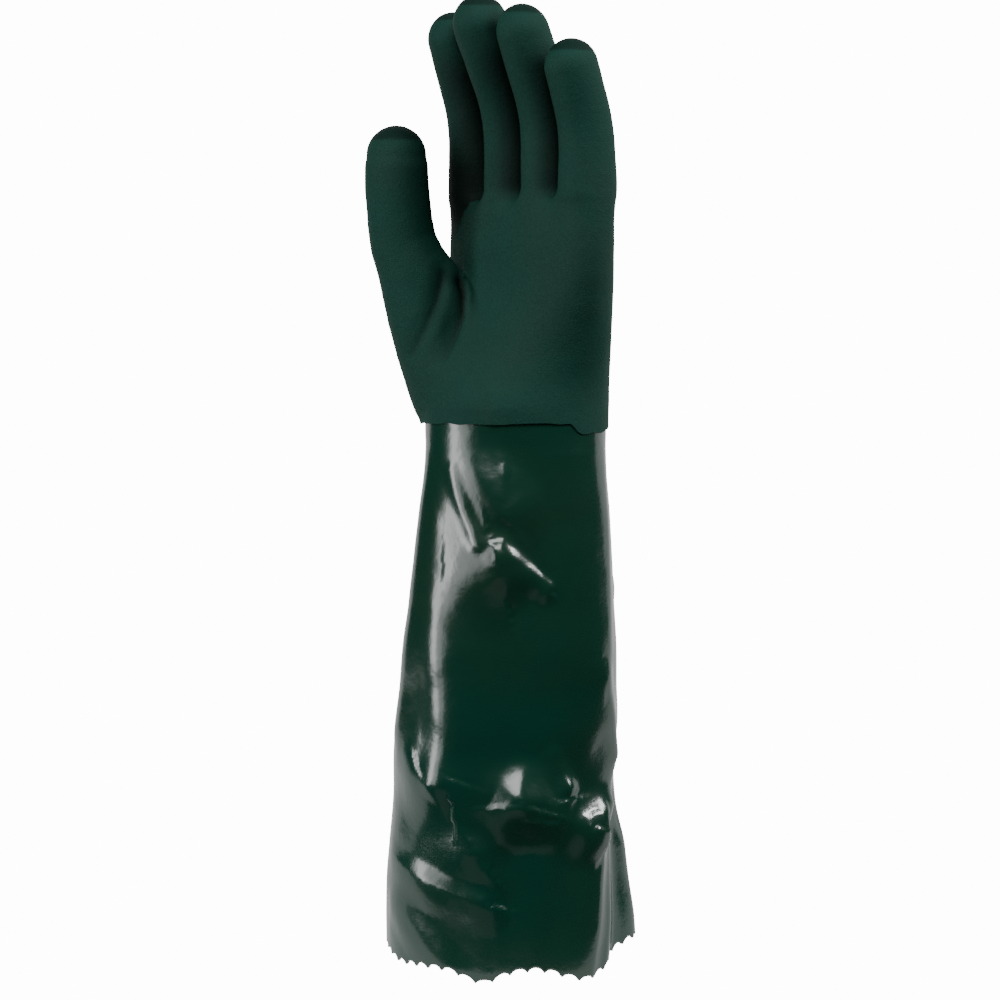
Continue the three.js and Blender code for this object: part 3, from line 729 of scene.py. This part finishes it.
def painted_gap_shade(p):
    """Painted shade between two stalls and behind the thumb, from 0 to 1, by how deep a point lies there."""
    s = scene_sizes()
    thumbward, palmward = hand_axes()
    squash = s.finger_width / s.finger_thickness
    chains = [finger_chain(finger) for finger in FINGERS]
    fields = [chain_field(p, *chain, squash, thumbward) for chain in chains]
    gaps = 1 - smoothstep(np.sort(np.stack(fields), axis=0)[1], *GAP_SHADE)
    for own, ahead, (centres, _), reach in zip(fields, fields[1:], chains, LEE_REACH):
        tip = centres[-1][2]
        lee = (own < OWN_SKIN) * (1 - smoothstep(ahead, LEE_START, reach))
        gaps = np.maximum(gaps, lee * (1 - smoothstep(p[:, 2], tip - LEE_END, tip)))
    gaps = gaps * smoothstep(p[:, 2] - s.sleeve_length - s.palm_length, *CROTCH_FADE)
    # Painted shade on the lower index, which the thumb hides from the light.
    root = chains[0][0][1]
    off = p - root
    behind = (fields[0] < OWN_SKIN) * smoothstep(off @ palmward, *BEHIND_THUMB["palmward"])
    behind = behind * smoothstep(off[:, 2], *BEHIND_THUMB["rise"])
    return np.maximum(gaps, behind * (1 - smoothstep(off[:, 2], *BEHIND_THUMB["fade"])))


def cut_below(piece, height):
    """Takes a mesh away below a height."""
    shape = bmesh.new()
    shape.from_mesh(piece.data)
    bmesh.ops.bisect_plane(
        shape,
        geom=shape.verts[:] + shape.edges[:] + shape.faces[:],
        dist=1e-6,
        plane_co=(0, 0, height * MM),
        plane_no=(0, 0, 1),
        clear_inner=True,
    )
    shape.to_mesh(piece.data)
    shape.free()


def make_hand():
    """The sandy hand coat, one skin with its lip lying over the sleeve."""
    s = scene_sizes()
    vertices, faces, shade = hand_mesh()
    piece = mesh_object("hand_skin", vertices, faces, sandy_vinyl())
    # The shade attribute carries the painted shade of the creases and gaps and the darker drips at the tips.
    piece.data.attributes.new("shade", "FLOAT", "POINT").data.foreach_set("value", shade)
    cut = s.sleeve_length + s.coat_drop / 2
    cut_below(piece, cut)
    points = vertex_points(piece)
    across = (points[:, 0] - wrist_lean()) / s.wrist_width
    angle = np.degrees(np.arctan2(points[:, 1] / s.wrist_depth, across))
    edge = coat_edge(angle) + uneven(np.stack([angle, angle * 0, angle * 0], axis=1), EDGE_ROLL)
    points[:, 2] += (edge - cut) * (1 - smoothstep(points[:, 2], cut, cut + s.lap))
    set_points(piece, points)
    wall = piece.modifiers.new("wall", "SOLIDIFY")
    wall.thickness = s.coat_step * MM
    wall.offset = -1
    wall.use_rim = True
    apply_modifiers(piece)
    return piece


def vertex_points(piece):
    """A mesh's vertices in millimetres."""
    flat = np.empty(len(piece.data.vertices) * 3)
    piece.data.vertices.foreach_get("co", flat)
    return flat.reshape(-1, 3) / MM


def set_points(piece, points):
    """Moves a mesh's vertices to points in millimetres."""
    piece.data.vertices.foreach_set("co", (points * MM).ravel())
    piece.data.update()


def apply_modifiers(piece):
    """Makes the evaluated shape the piece's own mesh."""
    graph = bpy.context.evaluated_depsgraph_get()
    made = bpy.data.meshes.new_from_object(piece.evaluated_get(graph), depsgraph=graph)
    old = piece.data
    piece.modifiers.clear()
    piece.data = made
    made.name = old.name
    bpy.data.meshes.remove(old)


def srgb(colour):
    """A linear RGBA colour from sRGB."""
    linear = [c / 12.92 if c <= 0.04045 else ((c + 0.055) / 1.055) ** 2.4 for c in colour[:3]]
    return (*linear, 1)


def group_socket(tree, name, way, kind, value=None):
    """A named socket of a node group."""
    socket = tree.interface.new_socket(name, in_out=way, socket_type=kind)
    if value is not None:
        socket.default_value = value


def uneven_colour_group():
    """A colour that drifts to a second one in soft patches."""
    tree = bpy.data.node_groups.get("uneven_colour")
    if tree:
        return tree
    tree = bpy.data.node_groups.new("uneven_colour", "ShaderNodeTree")
    group_socket(tree, "Colour", "INPUT", "NodeSocketColor")
    group_socket(tree, "Patch Colour", "INPUT", "NodeSocketColor")
    group_socket(tree, "Scale", "INPUT", "NodeSocketFloat", 14.0)
    group_socket(tree, "Amount", "INPUT", "NodeSocketFloat", 0.5)
    group_socket(tree, "Colour", "OUTPUT", "NodeSocketColor")
    nodes, links = tree.nodes, tree.links
    given, made = nodes.new("NodeGroupInput"), nodes.new("NodeGroupOutput")
    place = nodes.new("ShaderNodeTexCoord")
    noise = nodes.new("ShaderNodeTexNoise")
    noise.inputs["Detail"].default_value = 3
    noise.inputs["Distortion"].default_value = 0.6
    links.new(place.outputs["Object"], noise.inputs["Vector"])
    links.new(given.outputs["Scale"], noise.inputs["Scale"])
    share = nodes.new("ShaderNodeMapRange")
    share.inputs["From Min"].default_value = 0.36
    share.inputs["From Max"].default_value = 0.64
    links.new(noise.outputs["Fac"], share.inputs["Value"])
    links.new(given.outputs["Amount"], share.inputs["To Max"])
    mix = nodes.new("ShaderNodeMix")
    mix.data_type = "RGBA"
    links.new(share.outputs["Result"], mix.inputs["Factor"])
    links.new(given.outputs["Colour"], mix.inputs["A"])
    links.new(given.outputs["Patch Colour"], mix.inputs["B"])
    links.new(mix.outputs["Result"], made.inputs["Colour"])
    return tree


def grain_group():
    """A fine grain over a coarser unevenness, as a height from 0 to 1."""
    tree = bpy.data.node_groups.get("grain")
    if tree:
        return tree
    tree = bpy.data.node_groups.new("grain", "ShaderNodeTree")
    group_socket(tree, "Fine Scale", "INPUT", "NodeSocketFloat", 1400.0)
    group_socket(tree, "Coarse Scale", "INPUT", "NodeSocketFloat", 200.0)
    group_socket(tree, "Coarse Share", "INPUT", "NodeSocketFloat", 0.5)
    group_socket(tree, "Height", "OUTPUT", "NodeSocketFloat")
    nodes, links = tree.nodes, tree.links
    given, made = nodes.new("NodeGroupInput"), nodes.new("NodeGroupOutput")
    place = nodes.new("ShaderNodeTexCoord")
    mix = nodes.new("ShaderNodeMix")
    for name, side in (("Fine Scale", "A"), ("Coarse Scale", "B")):
        noise = nodes.new("ShaderNodeTexNoise")
        noise.inputs["Detail"].default_value = 3
        links.new(place.outputs["Object"], noise.inputs["Vector"])
        links.new(given.outputs[name], noise.inputs["Scale"])
        links.new(noise.outputs["Fac"], mix.inputs[side])
    links.new(given.outputs["Coarse Share"], mix.inputs["Factor"])
    links.new(mix.outputs["Result"], made.inputs["Height"])
    return tree


def place_group(material, tree, **values):
    """A group in a material, with its named inputs set."""
    node = material.node_tree.nodes.new("ShaderNodeGroup")
    node.node_tree = tree
    for name, value in values.items():
        node.inputs[name.replace("_", " ").title()].default_value = value
    return node


def dipped_vinyl(name, roughness, ior, specular):
    """A Principled material for dipped vinyl, with its shader."""
    material = bpy.data.materials.new(name)
    material.use_nodes = True
    shader = material.node_tree.nodes["Principled BSDF"]
    shader.inputs["Roughness"].default_value = roughness
    shader.inputs["IOR"].default_value = ior
    shader.inputs["Specular IOR Level"].default_value = specular
    return material, shader


def bump_shader(material, shader, grain, strength, distance):
    """Feeds a grain's height to a shader as a bump."""
    links = material.node_tree.links
    bump = material.node_tree.nodes.new("ShaderNodeBump")
    bump.inputs["Strength"].default_value = strength
    bump.inputs["Distance"].default_value = distance
    links.new(grain.outputs["Height"], bump.inputs["Height"])
    links.new(bump.outputs["Normal"], shader.inputs["Normal"])


def glossy_vinyl():
    """The sleeve's smooth PVC."""
    finish = scene_finish()
    material, shader = dipped_vinyl("glossy_vinyl", finish.gloss_roughness, ior=1.65, specular=0.5)
    patches = place_group(
        material,
        uneven_colour_group(),
        colour=srgb(finish.gloss_colour),
        patch_colour=srgb(finish.gloss_patch),
        scale=11,
        amount=0.6,
    )
    material.node_tree.links.new(patches.outputs["Colour"], shader.inputs["Base Color"])
    grain = place_group(material, grain_group(), fine_scale=900, coarse_scale=110, coarse_share=0.9)
    bump_shader(material, shader, grain, strength=0.3, distance=0.0008)
    return material


def sandy_vinyl():
    """The hand's sandy second coat, with painted shade in its folds and gaps and darker drip caps at its
    tips.
    """
    finish = scene_finish()
    material, shader = dipped_vinyl("sandy_vinyl", finish.sand_roughness, ior=1.5, specular=0.12)
    nodes, links = material.node_tree.nodes, material.node_tree.links
    patches = place_group(
        material,
        uneven_colour_group(),
        colour=srgb(finish.sand_colour),
        patch_colour=srgb(finish.sand_patch),
        scale=16,
        amount=0.8,
    )
    # Painted shade, and the darker drips, mixed into the coat's colour by the shade attribute.
    shade = nodes.new("ShaderNodeAttribute")
    shade.attribute_name = "shade"
    mix = nodes.new("ShaderNodeMix")
    mix.data_type = "RGBA"
    links.new(shade.outputs["Fac"], mix.inputs["Factor"])
    links.new(patches.outputs["Colour"], mix.inputs["A"])
    mix.inputs["B"].default_value = srgb(finish.shade_and_drip_colour)
    links.new(mix.outputs["Result"], shader.inputs["Base Color"])
    grain = place_group(material, grain_group(), fine_scale=1500, coarse_scale=420, coarse_share=0.45)
    bump_shader(material, shader, grain, strength=0.7, distance=0.0006)
    return material


def lit_paper():
    """White paper, clear from behind, that shows brighter to the camera than it lights the glove."""
    material = bpy.data.materials.new("lit_paper")
    material.use_nodes = True
    nodes, links = material.node_tree.nodes, material.node_tree.links
    nodes.remove(nodes["Principled BSDF"])
    path = nodes.new("ShaderNodeLightPath")
    strength = nodes.new("ShaderNodeMapRange")
    strength.inputs["To Min"].default_value = scene_studio().paper_glow
    strength.inputs["To Max"].default_value = scene_studio().paper_white
    links.new(path.outputs["Is Camera Ray"], strength.inputs["Value"])
    glow = nodes.new("ShaderNodeEmission")
    links.new(strength.outputs["Result"], glow.inputs["Strength"])
    side = nodes.new("ShaderNodeNewGeometry")
    clear = nodes.new("ShaderNodeBsdfTransparent")
    mix = nodes.new("ShaderNodeMixShader")
    links.new(side.outputs["Backfacing"], mix.inputs[0])
    links.new(glow.outputs["Emission"], mix.inputs[1])
    links.new(clear.outputs["BSDF"], mix.inputs[2])
    links.new(mix.outputs["Shader"], nodes["Material Output"].inputs["Surface"])
    return material


def area_light(name, azimuth, away, up, size, power):
    """A soft box turned to the glove."""
    data = bpy.data.lights.new(name, "AREA")
    data.shape = "RECTANGLE"
    data.size, data.size_y = size
    data.energy = power
    a = math.radians(azimuth)
    place = Vector((away * math.sin(a), -away * math.cos(a), up))
    lamp = bpy.data.objects.new(name, data)
    lamp.location = place
    lamp.rotation_euler = (Vector(LIGHT_AIM) - place).to_track_quat("-Z", "Y").to_euler()
    bpy.context.scene.collection.objects.link(lamp)


def make_paper():
    """The pale floor and backdrop in one sweep."""
    floor, bend = PAPER["floor"], PAPER["bend"]
    profile = [(PAPER["near"], floor)]
    for step in range(BEND_STEPS + 1):
        a = math.radians(90 * step / BEND_STEPS)
        profile.append((PAPER["back"] - bend + bend * math.sin(a), floor + bend - bend * math.cos(a)))
    profile.append((PAPER["back"], PAPER["top"]))
    vertices = [(x, y, z) for y, z in profile for x in (PAPER["left"], PAPER["right"])]
    faces = [(2 * i, 2 * i + 1, 2 * i + 3, 2 * i + 2) for i in range(len(profile) - 1)]
    return mesh_object("paper_sweep", vertices, faces, lit_paper())


def make_camera():
    """The camera at the studio's place."""
    studio = scene_studio()
    lens = bpy.data.cameras.new("camera")
    lens.sensor_width = SENSOR_WIDTH
    away = math.hypot(studio.camera_distance, studio.camera_height - studio.aim_height)
    lens.lens = SENSOR_WIDTH * away / studio.frame_width
    camera = bpy.data.objects.new("camera", lens)
    place = Vector((studio.aim_side, -studio.camera_distance, studio.camera_height)) * MM
    aim = Vector((studio.aim_side, 0, studio.aim_height)) * MM
    camera.location = place
    camera.rotation_euler = (aim - place).to_track_quat("-Z", "Y").to_euler()
    bpy.context.scene.collection.objects.link(camera)
    bpy.context.scene.camera = camera


def make_stage():
    """The paper, the lights, the dim world and the camera."""
    paper = make_paper()
    for name, light in LIGHTS.items():
        area_light(name, **light)
    world = bpy.data.worlds.new("studio")
    world.use_nodes = True
    grey = (WORLD_GREY, WORLD_GREY, WORLD_GREY, 1)
    world.node_tree.nodes["Background"].inputs["Color"].default_value = grey
    bpy.context.scene.world = world
    make_camera()


def length_prop(name, description, default):
    """A length in millimetres for the panel."""
    return FloatProperty(name=name, description=description, default=default)


def factor_prop(name, description, default):
    """A share from 0 to 1 for the panel."""
    return FloatProperty(name=name, description=description, subtype="FACTOR", min=0, max=1, default=default)


def colour_prop(name, description, default):
    """An sRGB colour for the panel."""
    return FloatVectorProperty(name=name, description=description, subtype="COLOR_GAMMA", default=default)


class GloveSizes(bpy.types.PropertyGroup):
    """Sizes of the glove in millimetres."""

    sleeve_length: length_prop("Sleeve length", "Cuff to coat edge", 250)
    wrist_width: length_prop("Wrist width", "Sleeve's width at the wrist", 84)
    wrist_depth: length_prop("Wrist depth", "Sleeve's depth at the wrist", 64)
    cuff_width: length_prop("Cuff width", "Width of the mouth", 116)
    cuff_depth: length_prop("Cuff depth", "Depth of the mouth", 88)
    sleeve_wall: length_prop("Sleeve wall", "Thickness of the sleeve", 1.4)
    cuff_rise: length_prop("Cuff rise", "Highest rise of the cut", 14)
    teeth: IntProperty(name="Teeth", description="Points of the pinked cuff", default=46)
    tooth_depth: length_prop("Tooth depth", "Depth of the pinking", 2.2)
    crest_round: length_prop("Crest round", "Radius of a crease", 1.3)
    columns_per_tooth: IntProperty(name="Columns", description="Mesh columns a tooth", default=6)
    sleeve_rows: IntProperty(name="Rows", description="Mesh rows of its outside", default=240)
    lining_rows: IntProperty(name="Inner rows", description="Mesh rows of its inside", default=70)
    coat_step: length_prop("Coat step", "Thickness of the lip", 0.9)
    coat_drop: length_prop("Coat drop", "Unevenness of the edge", 4)
    lap: length_prop("Lap", "Sleeve inside the coat", 10)
    lap_top: length_prop("Lap top", "Foot of the palm", 10.6)
    clearance: length_prop("Clearance", "Gap in the lap", 0.3)
    hand_turn: FloatProperty(
        name="Hand turn", description="Palm's turn from the front", subtype="ANGLE", default=math.radians(50)
    )
    hand_shift: length_prop("Hand shift", "Palm's place beside the wrist", 7)
    palm_length: length_prop("Palm length", "Coat edge to crotches", 108)
    palm_thickness: length_prop("Palm thickness", "At the knuckles", 33)
    palm_cup: length_prop("Palm cup", "Hollow of the palm", 5)
    finger_length: length_prop("Finger length", "Middle finger", 93.5)
    finger_width: length_prop("Finger width", "Stall's width", 25)
    finger_thickness: length_prop("Finger thickness", "Stall's depth", 28)
    finger_gap: length_prop("Finger gap", "Between two stalls", 1)
    finger_root: length_prop("Finger root", "Length in the palm", 34)
    tip_taper: factor_prop("Tip taper", "Share of its width that a stall loses at its tip", 0.1)
    thumb_length: length_prop("Thumb length", "Coat edge to tip", 138)
    thumb_width: length_prop("Thumb width", "Stall's width", 29.5)
    thumb_reach: length_prop("Thumb reach", "Scale of its table", 61.5)
    crotch_fillet: length_prop("Crotch fillet", "Between stalls", 1)
    crotch_drop: length_prop("Crotch drop", "Crotches below the palm", 3)
    knuckle_fillet: length_prop("Knuckle fillet", "Stalls to palm", 6)
    knuckle_tuck: length_prop("Knuckle tuck", "Palm inside the stalls", 2)
    thumb_fillet: length_prop("Thumb fillet", "Thumb to palm", 3)
    skin_cell: length_prop("Skin cell", "Cell of the hand's mesh", 1.35)


class GloveFinish(bpy.types.PropertyGroup):
    """Colours and finish of the glove."""

    gloss_colour: colour_prop("Sleeve colour", "Glossy PVC", (0.01, 0.19, 0.145))
    sand_colour: colour_prop("Hand colour", "Sandy PVC", (0.046, 0.21, 0.174))
    gloss_patch: colour_prop("Sleeve patches", "Browner PVC", (0.09, 0.18, 0.13))
    sand_patch: colour_prop("Hand patches", "Greyer PVC", (0.085, 0.202, 0.17))
    # Colour of the painted shade in the hand's creases and gaps, and of its darker drips.
    shade_and_drip_colour: colour_prop("Fold shade", "Coat in its folds", (0.005, 0.045, 0.035))
    gloss_roughness: factor_prop("Sleeve roughness", "Of the glossy PVC", 0.2)
    sand_roughness: factor_prop("Hand roughness", "Of the sandy PVC", 0.7)


class GloveStudio(bpy.types.PropertyGroup):
    """The camera's place in millimetres, and the paper's glow."""

    camera_distance: length_prop("Distance", "Camera to the glove", 1200)
    camera_height: length_prop("Height", "Camera's height", 310)
    aim_height: length_prop("Aim height", "Height it looks at", 217)
    aim_side: length_prop("Aim side", "Sideways place", -5.6)
    frame_width: length_prop("Frame width", "Width seen at the glove", 465)
    paper_white: FloatProperty(name="Paper white", description="Glow the camera sees", default=14)
    paper_glow: FloatProperty(name="Paper glow", description="Glow the glove gets", default=1.05)


class GLOVE_OT_sleeve(bpy.types.Operator):
    """Make the glossy sleeve"""

    bl_idname = "glove.sleeve"
    bl_label = "Make Sleeve"

    def execute(self, context):
        sleeve = make_sleeve()
        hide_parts(SLEEVE_NODE)
        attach(sleeve, BODY)
        return {"FINISHED"}


class GLOVE_OT_hand(bpy.types.Operator):
    """Make the sandy hand coat"""

    bl_idname = "glove.hand"
    bl_label = "Make Hand"

    def execute(self, context):
        hand = make_hand()
        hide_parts(*HAND_NODES)
        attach(hand, BODY)
        return {"FINISHED"}


class GLOVE_OT_stage(bpy.types.Operator):
    """Make the floor, lights and camera"""

    bl_idname = "glove.stage"
    bl_label = "Make Stage"

    def execute(self, context):
        make_stage()
        return {"FINISHED"}


class GLOVE_PT_panel(bpy.types.Panel):
    """The glove's makers and sizes"""

    bl_idname = "GLOVE_PT_panel"
    bl_label = "Coated Work Glove"
    bl_space_type = "VIEW_3D"
    bl_region_type = "UI"
    bl_category = "Glove"

    def draw(self, context):
        for operator in OPERATORS:
            self.layout.operator(operator.bl_idname)
        for group in (context.scene.glove_sizes, context.scene.glove_finish, context.scene.glove_studio):
            box = self.layout.box()
            for name in group.__annotations__:
                box.prop(group, name)


OPERATORS = (GLOVE_OT_stage, GLOVE_OT_sleeve, GLOVE_OT_hand)
CLASSES = (GloveSizes, GloveFinish, GloveStudio, *OPERATORS, GLOVE_PT_panel)


def register():
    """Adds the classes and the scene's property groups."""
    for cls in CLASSES:
        bpy.utils.register_class(cls)
    bpy.types.Scene.glove_sizes = PointerProperty(type=GloveSizes)
    bpy.types.Scene.glove_finish = PointerProperty(type=GloveFinish)
    bpy.types.Scene.glove_studio = PointerProperty(type=GloveStudio)


def unregister():
    """Takes them out again."""
    del bpy.types.Scene.glove_studio
    del bpy.types.Scene.glove_finish
    del bpy.types.Scene.glove_sizes
    for cls in reversed(CLASSES):
        bpy.utils.unregister_class(cls)


def main():
    register()
    bpy.ops.glove.stage()
    bpy.ops.glove.sleeve()
    bpy.ops.glove.hand()


if __name__ == "__main__":
    main()
